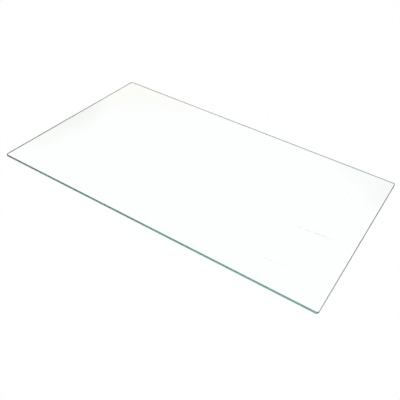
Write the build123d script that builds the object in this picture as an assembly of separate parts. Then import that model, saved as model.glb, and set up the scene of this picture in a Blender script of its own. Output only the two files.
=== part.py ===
"""Glass cover of a refrigerator's crisper drawer.

One pane of toughened float glass: a rectangle with rounded corners and a pencil edge all round.
The origin is at the middle of the underside. X runs along the length, Y from front to back, Z up.
"""

import os

from build123d import *

# Driving dimensions, in millimetres
LENGTH = 525.0  # over the rim, side to side
WIDTH = 313.0  # over the rim, front to back
THICKNESS = 4.0  # of the float glass sheet
CORNER_RADIUS = 4.0  # of the outline, seen from above
RIM_DEPTH = 1.0  # how far the pencil edge bulges past the flat faces


def flat_outline():
    """The outline of the flat faces, where the rim starts."""
    return RectangleRounded(
        LENGTH - 2 * RIM_DEPTH,
        WIDTH - 2 * RIM_DEPTH,
        CORNER_RADIUS - RIM_DEPTH,
    )


def rim_section():
    """The pencil edge's section: one arc from the lower face to the upper, closed by its chord.

    It stands at the middle of the right-hand side, across the outline that it follows.
    """
    start = LENGTH / 2 - RIM_DEPTH
    lower = (start, 0, 0)
    crown = (start + RIM_DEPTH, 0, THICKNESS / 2)
    upper = (start, 0, THICKNESS)
    return make_face(Curve() + [ThreePointArc(lower, crown, upper), Line(upper, lower)])


def glass_pane():
    """The flat sheet and the rim swept round it, as one solid."""
    outline = flat_outline()
    sheet = extrude(outline, amount=THICKNESS)
    rim = sweep(rim_section(), path=outline.wire())
    return sheet + rim


os.makedirs("parts", exist_ok=True)
export_step(glass_pane(), "parts/glass_pane.step")
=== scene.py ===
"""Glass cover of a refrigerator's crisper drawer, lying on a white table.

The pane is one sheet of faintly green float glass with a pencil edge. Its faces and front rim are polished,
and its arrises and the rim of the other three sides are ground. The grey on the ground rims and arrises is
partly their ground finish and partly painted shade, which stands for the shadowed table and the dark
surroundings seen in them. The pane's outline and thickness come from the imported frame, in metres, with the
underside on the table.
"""

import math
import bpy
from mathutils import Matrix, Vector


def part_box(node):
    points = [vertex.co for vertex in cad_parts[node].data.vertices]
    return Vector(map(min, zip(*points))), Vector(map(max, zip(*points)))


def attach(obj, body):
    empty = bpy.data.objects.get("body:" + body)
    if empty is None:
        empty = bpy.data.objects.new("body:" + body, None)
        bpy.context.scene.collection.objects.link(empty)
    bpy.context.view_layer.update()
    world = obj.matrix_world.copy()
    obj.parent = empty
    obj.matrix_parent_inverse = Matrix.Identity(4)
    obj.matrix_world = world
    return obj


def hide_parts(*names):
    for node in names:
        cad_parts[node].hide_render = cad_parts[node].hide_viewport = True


bl_info = {
    "name": "Crisper drawer cover",
    "version": (1, 0, 0),
    "blender": (4, 5, 0),
    "location": "3D View > Sidebar > Crisper Cover",
    "description": "Models the glass cover of a crisper drawer and sets it on a white table",
    "category": "Add Mesh",
}

from typing import NamedTuple

import bmesh
import bpy
from bpy.props import FloatProperty, FloatVectorProperty, IntProperty, PointerProperty
from mathutils import Matrix, Vector

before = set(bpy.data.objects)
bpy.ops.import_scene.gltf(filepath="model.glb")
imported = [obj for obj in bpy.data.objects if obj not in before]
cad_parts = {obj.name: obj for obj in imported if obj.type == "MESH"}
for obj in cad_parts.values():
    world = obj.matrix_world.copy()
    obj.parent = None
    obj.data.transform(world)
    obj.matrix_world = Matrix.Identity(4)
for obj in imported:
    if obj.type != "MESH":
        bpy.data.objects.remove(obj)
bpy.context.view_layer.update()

PANE_NODE = "glass_pane"
PANE_LOW, PANE_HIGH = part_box(PANE_NODE)
PANE_SIZE = PANE_HIGH - PANE_LOW

# Lengths below this, in metres, count as none when vertices are compared
NEAR = 1e-6
ARRIS_SEGMENTS = 2
WHITE = (1, 1, 1, 1)
PAPER = (0.9, 0.9, 0.9, 1)
SENSOR_WIDTH = 36.0  # of the camera, in millimetres
# Light that enters by the back rim is thrown this often from face to face before it leaves by the front
GLASS_BOUNCES = 160


class FinishAndShade(NamedTuple):
    """Grey on a face of the glass, partly the film that the grinding wheel leaves and partly painted shade.
    """

    film_and_shade: float  # thickness at the front right and back left corners
    haze_and_shade: float  # what it gains towards the other two corners


class Noise(NamedTuple):
    """Noise that makes a finish uneven."""

    cycles: tuple  # in a metre, along each axis
    detail: float  # finer noise added to it, in octaves


class Scuff(NamedTuple):
    """A faint mark on the top face. Its ends are in lengths and widths of the pane, from its middle."""

    start: tuple
    end: tuple
    breadth: float  # in metres
    film_and_shade: float  # thickness of its grey, as on the rim


class RoomPatch(NamedTuple):
    """A soft patch in the white surroundings, with its angles in degrees."""

    heading: float  # from straight back, turned to the right
    height: float  # over the horizon
    spread: float  # from the middle of the patch to where it has faded out
    colour: tuple


# Painted shade: the arrises and the back, left and right rims get more grey than their ground finish has. It
# stands for the shadowed table and dark surroundings seen in them, so it differs from side to side and
# changes towards two corners.
FACE_FINISH_AND_SHADE = FinishAndShade(0.0, 0.0)
ARRIS_FINISH_AND_SHADE = FinishAndShade(0.72, 0.0)
FRONT_FINISH_AND_SHADE = FinishAndShade(0.0, 0.05)
BACK_FINISH_AND_SHADE = FinishAndShade(1.20, -0.26)
LEFT_FINISH_AND_SHADE = FinishAndShade(1.06, 1.70)
RIGHT_FINISH_AND_SHADE = FinishAndShade(0.36, 0.92)
# Streaks run along the rim, so they are fine across its height
STREAKS = Noise((45, 45, 2600), 3)
SMUDGES = Noise((11, 11, 11), 5)
SCUFF_BREAKS = Noise((190, 190, 190), 2)
# Noise at which a smudge starts and at which it is full, and the same for a scuff
SMUDGE_RANGE = (0.5, 0.8)
SCUFF_RANGE = (0.36, 0.6)
# A scuff fades in from its outline to this share of its half length and half breadth
SCUFF_CORE = 0.3
SCUFFS = (
    Scuff((0.322, -0.104), (0.448, -0.084), 0.0046, 0.16),
    Scuff((0.298, -0.364), (0.390, -0.358), 0.0048, 0.07),
    Scuff((0.394, 0.266), (0.403, 0.267), 0.0048, 0.10),
)
ROOM_PATCHES = (
    RoomPatch(-38.6, 25.6, 6.0, (0.91, 0.91, 0.62)),
    RoomPatch(-32.5, 27.0, 4.5, (0.93, 0.91, 0.74)),
    RoomPatch(-49.8, 30.0, 4.2, (0.60, 0.68, 0.48)),
    RoomPatch(-46.2, 28.2, 4.8, (0.46, 0.51, 0.30)),
    RoomPatch(-4.0, 33.0, 5.0, (0.54, 0.62, 0.59)),
    RoomPatch(-9.0, 31.5, 4.0, (0.74, 0.84, 0.80)),
)


class PaneSettings(bpy.types.PropertyGroup):
    """Shape of the glass pane."""

    corner_radius: FloatProperty(
        name="Corner Radius",
        description="Radius of the outline's corners, seen from above",
        default=0.004,
        subtype="DISTANCE",
        unit="LENGTH",
    )
    rim_depth: FloatProperty(
        name="Rim Depth",
        description="How far the pencil edge bulges past the flat faces",
        default=0.001,
        subtype="DISTANCE",
        unit="LENGTH",
    )
    arris: FloatProperty(
        name="Arris",
        description="Width of the dubbed crease between a flat face and the rim",
        default=0.00012,
        subtype="DISTANCE",
        unit="LENGTH",
    )
    rim_segments: IntProperty(
        name="Rim Segments",
        description="Steps across the pencil edge",
        default=24,
    )
    corner_segments: IntProperty(
        name="Corner Segments",
        description="Steps round each corner",
        default=32,
    )


class GlassSettings(bpy.types.PropertyGroup):
    """Body colour of the glass and the finish of its faces and rim."""

    body_colour: FloatVectorProperty(
        name="Body Colour",
        description="Colour that the glass keeps as light travels along inside it",
        default=(0.03, 0.94, 0.86),
        subtype="COLOR",
    )
    body_density: FloatProperty(
        name="Body Density",
        description="How much light a metre of the glass takes away",
        default=2.5,
    )
    refraction: FloatProperty(
        name="Refraction",
        description="Index of refraction of soda-lime glass",
        default=1.52,
    )
    # Painted shade: this dark colour greys the scuffs, and it is also the painted shade on the ground rims
    # and arrises.
    film_and_shade_colour: FloatVectorProperty(
        name="Film Colour",
        description="Colour of light that crosses the grey film on a ground rim",
        default=(0.096, 0.081, 0.080),
        subtype="COLOR",
    )
    ground_roughness: FloatProperty(
        name="Ground Roughness",
        description="Satin finish that the grinding wheel leaves on the rim",
        default=0.24,
        subtype="FACTOR",
    )
    streak_depth: FloatProperty(
        name="Streak Depth",
        description="Depth of the fine streaks that the grinding wheel leaves along the rim",
        default=0.00001,
        subtype="DISTANCE",
        unit="LENGTH",
    )
    smudge_roughness: FloatProperty(
        name="Smudge Roughness",
        description="Dulling of the polished faces where they have been wiped",
        default=0.012,
        subtype="FACTOR",
    )


class StageSettings(bpy.types.PropertyGroup):
    """Table, surroundings and camera."""

    table_size: FloatProperty(
        name="Table Size",
        description="Side of the square table top",
        default=24.0,
        subtype="DISTANCE",
        unit="LENGTH",
    )
    table_gap: FloatProperty(
        name="Table Gap",
        description="Film of air between the glass and the table",
        default=0.0003,
        subtype="DISTANCE",
        unit="LENGTH",
    )
    table_shade: FloatProperty(
        name="Table Shade",
        description="How much of the shadow that falls on the white table is seen",
        default=0.010,
        subtype="FACTOR",
    )
    horizon_colour: FloatVectorProperty(
        name="Horizon Colour",
        description="Colour of the surroundings at table height",
        default=(0.30, 0.31, 0.30),
        subtype="COLOR",
    )
    horizon_foot: FloatProperty(
        name="Horizon Foot",
        description="Height over the horizon up to which the surroundings are dark",
        default=math.radians(18),
        subtype="ANGLE",
        unit="ROTATION",
    )
    horizon_top: FloatProperty(
        name="Horizon Top",
        description="Height over the horizon from which the surroundings are white",
        default=math.radians(30),
        subtype="ANGLE",
        unit="ROTATION",
    )
    camera_place: FloatVectorProperty(
        name="Camera Place",
        description="Camera's place from the middle of the pane's top face, in lengths of the pane",
        default=(0.6252, -1.1009, 0.9272),
    )
    camera_heading: FloatProperty(
        name="Camera Heading",
        description="Turn of the view from straight back towards the left",
        default=math.radians(29.476),
        subtype="ANGLE",
        unit="ROTATION",
    )
    camera_tilt: FloatProperty(
        name="Camera Tilt",
        description="Angle of the view below the horizon",
        default=math.radians(39.626),
        subtype="ANGLE",
        unit="ROTATION",
    )
    camera_roll: FloatProperty(
        name="Camera Roll",
        description="Turn of the camera about its own line of sight",
        default=math.radians(5.079),
        subtype="ANGLE",
        unit="ROTATION",
    )
    focal_length: FloatProperty(
        name="Focal Length",
        description="Lens on a sensor 36 mm wide",
        default=47.429,
    )


def object_from(bm, name):
    """Puts a finished bmesh in the scene as an object at the origin."""
    mesh = bpy.data.meshes.new(name)
    bm.to_mesh(mesh)
    bm.free()
    made = bpy.data.objects.new(name, mesh)
    bpy.context.scene.collection.objects.link(made)
    return made


def corner_patch(bm, pane):
    """Spins the pencil edge's arc from one vertex, and the arc round the back right corner."""
    half_thickness = PANE_SIZE.z / 2
    rim_radius = (half_thickness**2 + pane.rim_depth**2) / (2 * pane.rim_depth)
    corner = PANE_HIGH - Vector((pane.corner_radius, pane.corner_radius, PANE_SIZE.z))
    lower_crease = bm.verts.new((PANE_HIGH.x - pane.rim_depth, corner.y, PANE_LOW.z))
    bmesh.ops.spin(
        bm,
        geom=[lower_crease],
        cent=(PANE_HIGH.x - rim_radius, corner.y, PANE_LOW.z + half_thickness),
        axis=(0, -1, 0),
        angle=2 * math.asin(half_thickness / rim_radius),
        steps=pane.rim_segments,
    )
    bmesh.ops.spin(
        bm,
        geom=bm.verts[:] + bm.edges[:],
        cent=corner,
        axis=(0, 0, 1),
        angle=math.pi / 2,
        steps=pane.corner_segments,
    )
    return corner


def mirror_corners(bm):
    """Repeats the corner patch at the other three corners."""
    for axis in "XY":
        bmesh.ops.mirror(
            bm,
            geom=bm.verts[:] + bm.edges[:] + bm.faces[:],
            matrix=Matrix.Identity(4),
            merge_dist=NEAR,
            axis=axis,
        )


def bridge_sides(bm, corner):
    """Runs the rim straight along the four sides, from corner to corner."""
    ends = [e for e in bm.edges if e.is_boundary and abs(e.verts[0].co.z - e.verts[1].co.z) > NEAR]
    for axis in (0, 1):
        for side in (1, -1):
            facing = [e for e in ends if all(side * v.co[axis] > corner[axis] + NEAR for v in e.verts)]
            bmesh.ops.bridge_loops(bm, edges=facing)


def close_faces(bm):
    """Fills the two flat faces and returns them."""
    return bmesh.ops.holes_fill(bm, edges=[e for e in bm.edges if e.is_boundary], sides=0)["faces"]


def rim_finish_and_shade(outward):
    """The finish and painted shade of the side of the rim that faces outward."""
    if abs(outward.x) > abs(outward.y):
        return RIGHT_FINISH_AND_SHADE if outward.x > 0 else LEFT_FINISH_AND_SHADE
    return BACK_FINISH_AND_SHADE if outward.y > 0 else FRONT_FINISH_AND_SHADE


def pane_object(pane):
    """The whole pane, with each face's grey and its change towards two corners in two face attributes; on
    the rims and arrises that grey is partly ground finish and partly painted shade.
    """
    bm = bmesh.new()
    film_and_shade = bm.faces.layers.float.new("film_and_shade")
    haze_and_shade = bm.faces.layers.float.new("haze_and_shade")
    corner = corner_patch(bm, pane)
    mirror_corners(bm)
    bmesh.ops.remove_doubles(bm, verts=bm.verts[:], dist=NEAR)
    bridge_sides(bm, corner)
    flats = close_faces(bm)
    bmesh.ops.recalc_face_normals(bm, faces=bm.faces[:])
    for face in bm.faces:
        face[film_and_shade], face[haze_and_shade] = rim_finish_and_shade(face.normal)
        face.smooth = True
    for face in flats:
        face[film_and_shade], face[haze_and_shade] = FACE_FINISH_AND_SHADE
        face.smooth = False
    creases = [edge for face in flats for edge in face.edges]
    arris = bmesh.ops.bevel(
        bm,
        geom=creases,
        offset=pane.arris,
        offset_type="OFFSET",
        affect="EDGES",
        segments=ARRIS_SEGMENTS,
        profile=0.5,
        material=-1,
    )
    # The arrises get their grey too, partly ground finish and partly painted shade.
    for face in arris["faces"]:
        face[film_and_shade], face[haze_and_shade] = ARRIS_FINISH_AND_SHADE
    return object_from(bm, "glass_cover")


class NodeSheet:
    """Adds and links the nodes of one material or world. A value is plain or another node's output."""

    def __init__(self, tree):
        self.tree = tree
        tree.nodes.clear()

    def add(self, kind, inputs=None, **attributes):
        """Makes a node, with its inputs by name or number."""
        node = self.tree.nodes.new(kind)
        for name, value in attributes.items():
            setattr(node, name, value)
        for name, value in (inputs or {}).items():
            if isinstance(value, bpy.types.NodeSocket):
                self.tree.links.new(value, node.inputs[name])
            else:
                node.inputs[name].default_value = value
        return node

    def math(self, operation, *values):
        """Works out one number from up to three."""
        return self.add("ShaderNodeMath", dict(enumerate(values)), operation=operation).outputs["Value"]

    def vector(self, operation, *values):
        """Works out one number from one or two vectors."""
        made = self.add("ShaderNodeVectorMath", dict(enumerate(values)), operation=operation)
        return made.outputs["Value"]

    def ramp(self, value, start, end):
        """Goes smoothly from 0 to 1 as the value goes from start to end."""
        ends = {"Value": value, "From Min": start, "From Max": end}
        return self.add("ShaderNodeMapRange", ends, interpolation_type="SMOOTHSTEP").outputs["Result"]

    def mix(self, factor, first, second):
        """Goes from the first colour to the second as the factor goes from 0 to 1."""
        ends = {"Factor": factor, "A": first, "B": second}
        return self.add("ShaderNodeMix", ends, data_type="RGBA").outputs["Result"]

    def noise(self, place, noise):
        """Noise from 0 to 1, a half on average."""
        stretched = self.add("ShaderNodeMapping", {"Vector": place, "Scale": noise.cycles}).outputs["Vector"]
        made = self.add("ShaderNodeTexNoise", {"Vector": stretched, "Scale": 1.0, "Detail": noise.detail})
        return made.outputs["Fac"]


def corner_gradient(sheet, place):
    """0 on the line from the front right corner to the back left one, rising to 1 at the other two."""
    slant = Vector((1 / PANE_SIZE.x, 1 / PANE_SIZE.y, 0))
    return sheet.math("ABSOLUTE", sheet.vector("DOT_PRODUCT", place, slant))


def on_top_face(lengths, widths):
    """Place on the top face, so many lengths and widths of the pane from its middle."""
    return Vector((PANE_SIZE.x * lengths, PANE_SIZE.y * widths, PANE_HIGH.z))


def scuff_film(sheet, place):
    """Thickness of the grey in the broken scuffs on the top face, which don't reach the underside."""
    film_and_shade = 0.0
    for scuff in SCUFFS:
        start = on_top_face(*scuff.start)
        end = on_top_face(*scuff.end)
        line = end - start
        turned = {
            "Vector": place,
            "Location": (start + end) / 2,
            "Rotation": (0, 0, math.atan2(line.y, line.x)),
            "Scale": (line.length / 2, scuff.breadth / 2, PANE_SIZE.z / 4),
        }
        within = sheet.add("ShaderNodeMapping", turned, vector_type="TEXTURE").outputs["Vector"]
        inside = sheet.ramp(sheet.vector("LENGTH", within), 1.0, SCUFF_CORE)
        film_and_shade = sheet.math("MULTIPLY_ADD", inside, scuff.film_and_shade, film_and_shade)
    whole = sheet.ramp(sheet.noise(place, SCUFF_BREAKS), *SCUFF_RANGE)
    return sheet.math("MULTIPLY", film_and_shade, whole)


def glass_material(glass):
    """Clear float glass, grey where it is scuffed, and on the ground rims and arrises grey that is partly
    ground finish and partly painted shade.
    """
    material = bpy.data.materials.new("float_glass")
    material.use_nodes = True
    sheet = NodeSheet(material.node_tree)
    place = sheet.add("ShaderNodeTexCoord").outputs["Object"]
    film_and_shade = sheet.add("ShaderNodeAttribute", attribute_name="film_and_shade").outputs["Fac"]
    haze_and_shade = sheet.add("ShaderNodeAttribute", attribute_name="haze_and_shade").outputs["Fac"]

    # Painted shade: the rims' grey, with its change towards two corners, is partly painted shade for the
    # shadowed table and dark surroundings seen in them.
    uneven_film_and_shade = sheet.math("MULTIPLY_ADD", corner_gradient(sheet, place), haze_and_shade, film_and_shade)
    # With a half added, the streaks are 1 on average and leave the grey as thick as it was
    streaks = sheet.math("ADD", sheet.noise(place, STREAKS), 0.5)
    streaked = sheet.math("MULTIPLY", uneven_film_and_shade, streaks)
    grey = sheet.math("ADD", streaked, scuff_film(sheet, place))
    # The dark colour raised to the power of the grey gives the base colour: real grey in the scuffs, painted
    # shade on the rims and arrises.
    film_and_shade_gamma = {"Color": (*glass.film_and_shade_colour, 1), "Gamma": grey}
    colour = sheet.add("ShaderNodeGamma", film_and_shade_gamma).outputs["Color"]

    smudges = sheet.ramp(sheet.noise(place, SMUDGES), *SMUDGE_RANGE)
    smudged = sheet.math("MULTIPLY", smudges, glass.smudge_roughness)
    roughness = sheet.math("MULTIPLY_ADD", grey, glass.ground_roughness, smudged)

    grooves = {"Height": streaked, "Distance": glass.streak_depth}
    relief = sheet.add("ShaderNodeBump", grooves).outputs["Normal"]
    surface = sheet.add(
        "ShaderNodeBsdfPrincipled",
        {
            "Base Color": colour,
            "Roughness": roughness,
            "IOR": glass.refraction,
            "Transmission Weight": 1.0,
            "Normal": relief,
        },
    )
    body = sheet.add(
        "ShaderNodeVolumeAbsorption",
        {"Color": (*glass.body_colour, 1), "Density": glass.body_density},
    )
    sheet.add(
        "ShaderNodeOutputMaterial",
        {"Surface": surface.outputs["BSDF"], "Volume": body.outputs["Volume"]},
    )
    return material


def table_material(shade):
    """White table that shows white to the camera, in mirrors and through glass, with a faint shadow."""
    material = bpy.data.materials.new("white_table")
    material.use_nodes = True
    sheet = NodeSheet(material.node_tree)
    path = sheet.add("ShaderNodeLightPath").outputs
    clear = sheet.math("MAXIMUM", path["Is Glossy Ray"], path["Is Transmission Ray"])
    seen = sheet.math("MAXIMUM", path["Is Camera Ray"], clear)
    paper = sheet.add("ShaderNodeBsdfDiffuse", {"Color": PAPER}).outputs["BSDF"]
    glow = sheet.add("ShaderNodeEmission", {"Color": WHITE}).outputs["Emission"]
    white = sheet.add("ShaderNodeMixShader", {"Fac": 1 - shade, 1: paper, 2: glow}).outputs["Shader"]
    shown = sheet.add("ShaderNodeMixShader", {"Fac": seen, 1: paper, 2: white}).outputs["Shader"]
    sheet.add("ShaderNodeOutputMaterial", {"Surface": shown})
    return material


def table(stage):
    """A wide table top just under the pane."""
    bm = bmesh.new()
    bmesh.ops.create_grid(bm, x_segments=1, y_segments=1, size=stage.table_size / 2)
    bmesh.ops.translate(bm, verts=bm.verts[:], vec=(0, 0, PANE_LOW.z - stage.table_gap))
    made = object_from(bm, "table")
    made.data.materials.append(table_material(stage.table_shade))


def towards(heading, height):
    """Unit vector towards a heading, from straight back to the right, and a height over the horizon."""
    level = math.cos(height)
    return Vector((level * math.sin(heading), level * math.cos(heading), math.sin(height)))


def white_room(stage):
    """Soft white surroundings that darken towards the horizon and in a few patches."""
    world = bpy.data.worlds.new("white_room")
    world.use_nodes = True
    sheet = NodeSheet(world.node_tree)
    direction = sheet.add("ShaderNodeTexCoord").outputs["Generated"]
    height = sheet.vector("DOT_PRODUCT", direction, Vector((0, 0, 1)))
    lit = sheet.ramp(height, math.sin(stage.horizon_foot), math.sin(stage.horizon_top))
    room = sheet.mix(lit, (*stage.horizon_colour, 1), WHITE)
    for patch in ROOM_PATCHES:
        middle = towards(math.radians(patch.heading), math.radians(patch.height))
        edge = math.cos(math.radians(patch.spread))
        inside = sheet.ramp(sheet.vector("DOT_PRODUCT", direction, middle), edge, 1.0)
        room = sheet.mix(inside, room, (*patch.colour, 1))
    camera_ray = sheet.add("ShaderNodeLightPath").outputs["Is Camera Ray"]
    shown = sheet.mix(camera_ray, room, WHITE)
    light = sheet.add("ShaderNodeBackground", {"Color": shown}).outputs["Background"]
    sheet.add("ShaderNodeOutputWorld", {"Surface": light})
    bpy.context.scene.world = world


def camera(stage):
    """The camera, above the front right of the pane."""
    data = bpy.data.cameras.new("camera")
    data.lens = stage.focal_length
    data.sensor_width = SENSOR_WIDTH
    made = bpy.data.objects.new("camera", data)
    bpy.context.scene.collection.objects.link(made)
    place = on_top_face(0, 0) + PANE_SIZE.x * Vector(stage.camera_place)
    made.matrix_world = (
        Matrix.Translation(place)
        @ Matrix.Rotation(stage.camera_heading, 4, "Z")
        @ Matrix.Rotation(math.pi / 2 - stage.camera_tilt, 4, "X")
        @ Matrix.Rotation(stage.camera_roll, 4, "Z")
    )
    bpy.context.scene.camera = made


class CRISPER_OT_pane(bpy.types.Operator):
    """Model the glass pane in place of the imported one"""

    bl_idname = "crisper.pane"
    bl_label = "Glass Pane"

    def execute(self, context):
        pane = pane_object(context.scene.crisper_pane)
        pane.data.materials.append(glass_material(context.scene.crisper_glass))
        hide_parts(PANE_NODE)
        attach(pane, "root")
        return {"FINISHED"}


class CRISPER_OT_stage(bpy.types.Operator):
    """Set the table, the surroundings and the camera"""

    bl_idname = "crisper.stage"
    bl_label = "White Table"

    def execute(self, context):
        stage = context.scene.crisper_stage
        table(stage)
        white_room(stage)
        camera(stage)
        context.scene.view_settings.view_transform = "Standard"
        for kind in ("max", "glossy", "transmission"):
            setattr(context.scene.cycles, f"{kind}_bounces", GLASS_BOUNCES)
        return {"FINISHED"}


class CRISPER_PT_panel(bpy.types.Panel):
    """Lists the pieces and their sizes"""

    bl_idname = "CRISPER_PT_panel"
    bl_label = "Crisper Cover"
    bl_space_type = "VIEW_3D"
    bl_region_type = "UI"
    bl_category = "Crisper Cover"

    def draw(self, context):
        for operator, groups in PANEL_BOXES.items():
            box = self.layout.box()
            box.operator(operator)
            for group in groups:
                settings = getattr(context.scene, group)
                for name in settings.__annotations__:
                    box.prop(settings, name)


PANEL_BOXES = {
    "crisper.pane": ("crisper_pane", "crisper_glass"),
    "crisper.stage": ("crisper_stage",),
}
GROUPS = {
    "crisper_pane": PaneSettings,
    "crisper_glass": GlassSettings,
    "crisper_stage": StageSettings,
}
CLASSES = (*GROUPS.values(), CRISPER_OT_pane, CRISPER_OT_stage, CRISPER_PT_panel)


def register():
    for cls in CLASSES:
        bpy.utils.register_class(cls)
    for name, group in GROUPS.items():
        setattr(bpy.types.Scene, name, PointerProperty(type=group))


def unregister():
    for name in GROUPS:
        delattr(bpy.types.Scene, name)
    for cls in reversed(CLASSES):
        bpy.utils.unregister_class(cls)


def main():
    register()
    bpy.ops.crisper.pane()
    bpy.ops.crisper.stage()


if __name__ == "__main__":
    main()
